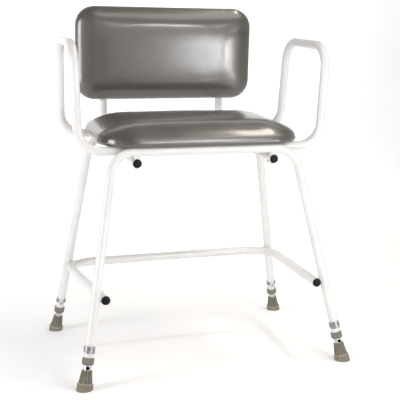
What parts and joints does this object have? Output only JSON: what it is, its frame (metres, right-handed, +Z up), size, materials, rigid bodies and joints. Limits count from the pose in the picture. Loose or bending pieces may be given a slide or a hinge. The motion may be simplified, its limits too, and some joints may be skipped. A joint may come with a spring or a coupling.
{
  "type": "shower stool",
  "caption": "Height-adjustable shower stool with a padded seat and back, tubular arm loops, a low stretcher and rubber feet on telescopic legs.",
  "frame": {"origin": "centre of the overall footprint, on the floor", "axes": "+Z up from the floor; +X to one side, across the seat; -Y is the front, where the sitter's knees are, and +Y is the back"},
  "size_m": [0.7198, 0.57, 0.9194],
  "materials": {
    "frame_coating": "white powder coat, satin",
    "plug_black": "moulded polyethylene, satin",
    "board_plywood": "sealed plywood",
    "foam": "open-cell upholstery foam",
    "vinyl": "smooth taupe-grey vinyl, soft sheen",
    "saddle_plastic": "moulded natural nylon",
    "zinc_steel": "bright zinc plate",
    "leg_zinc": "zinc-plated tube",
    "clip_steel": "blackened spring steel",
    "collar_rubber": "grey-brown moulded bush",
    "ferrule_rubber": "grey-brown rubber, matt"
  },
  "bodies": {
    "frame": {"front_leg_frame": "frame_coating", "rear_leg_frame": "frame_coating", "lower_stretcher": "frame_coating", "stretcher_plug_left": "plug_black", "seat_rail_left": "frame_coating", "rail_front_plug_left": "plug_black", "rail_top_plug_left": "plug_black", "arm_loop_left": "frame_coating", "arm_end_plugs_left": "plug_black", "stretcher_plug_right": "plug_black", "seat_rail_right": "frame_coating", "rail_front_plug_right": "plug_black", "rail_top_plug_right": "plug_black", "arm_loop_right": "frame_coating", "arm_end_plugs_right": "plug_black", "seat_board": "board_plywood", "seat_foam": "foam", "seat_cover": "vinyl", "seat_t_nuts": "zinc_steel", "back_board": "board_plywood", "back_foam": "foam", "back_cover": "vinyl", "back_t_nuts": "zinc_steel", "seat_bolts": "zinc_steel", "seat_bolt_washers": "zinc_steel", "rail_saddles": "saddle_plastic", "back_bolts": "zinc_steel", "back_bolt_saddles": "saddle_plastic", "leg_collar_front_left": "collar_rubber", "leg_collar_rear_left": "collar_rubber", "leg_collar_front_right": "collar_rubber", "leg_collar_rear_right": "collar_rubber"},
    "leg_front_left": {"leg_extension_front_left": "leg_zinc", "ferrule_front_left": "ferrule_rubber", "ferrule_washer_front_left": "zinc_steel"},
    "clip_front_left": {"clip_spring_front_left": "clip_steel", "clip_pin_front_left": "zinc_steel"},
    "leg_rear_left": {"leg_extension_rear_left": "leg_zinc", "ferrule_rear_left": "ferrule_rubber", "ferrule_washer_rear_left": "zinc_steel"},
    "clip_rear_left": {"clip_spring_rear_left": "clip_steel", "clip_pin_rear_left": "zinc_steel"},
    "leg_front_right": {"leg_extension_front_right": "leg_zinc", "ferrule_front_right": "ferrule_rubber", "ferrule_washer_front_right": "zinc_steel"},
    "clip_front_right": {"clip_spring_front_right": "clip_steel", "clip_pin_front_right": "zinc_steel"},
    "leg_rear_right": {"leg_extension_rear_right": "leg_zinc", "ferrule_rear_right": "ferrule_rubber", "ferrule_washer_rear_right": "zinc_steel"},
    "clip_rear_right": {"clip_spring_rear_right": "clip_steel", "clip_pin_rear_right": "zinc_steel"}
  },
  "joints": [
    {"name": "extend_front_left", "type": "slide", "parent": "frame", "child": "leg_front_left", "axis": [-0.1759, -0.1741, -0.9689], "range_m": [0, 0.1143]},
    {"name": "pull_clip_front_left", "type": "slide", "parent": "frame", "child": "clip_front_left", "axis": [0.0311, -0.9847, 0.1713], "range_m": [0, 0.035], "deforming": ["clip_spring_front_left"]},
    {"name": "extend_rear_left", "type": "slide", "parent": "frame", "child": "leg_rear_left", "axis": [-0.1689, 0.1978, -0.9656], "range_m": [0, 0.1143]},
    {"name": "pull_clip_rear_left", "type": "slide", "parent": "frame", "child": "clip_rear_left", "axis": [0.0341, 0.9802, 0.1948], "range_m": [0, 0.035], "deforming": ["clip_spring_rear_left"]},
    {"name": "extend_front_right", "type": "slide", "parent": "frame", "child": "leg_front_right", "axis": [0.1759, -0.1741, -0.9689], "range_m": [0, 0.1143]},
    {"name": "pull_clip_front_right", "type": "slide", "parent": "frame", "child": "clip_front_right", "axis": [-0.0311, -0.9847, 0.1713], "range_m": [0, 0.035], "deforming": ["clip_spring_front_right"]},
    {"name": "extend_rear_right", "type": "slide", "parent": "frame", "child": "leg_rear_right", "axis": [0.1689, 0.1978, -0.9656], "range_m": [0, 0.1143]},
    {"name": "pull_clip_rear_right", "type": "slide", "parent": "frame", "child": "clip_rear_right", "axis": [-0.0341, 0.9802, 0.1948], "range_m": [0, 0.035], "deforming": ["clip_spring_rear_right"]}
  ]
}
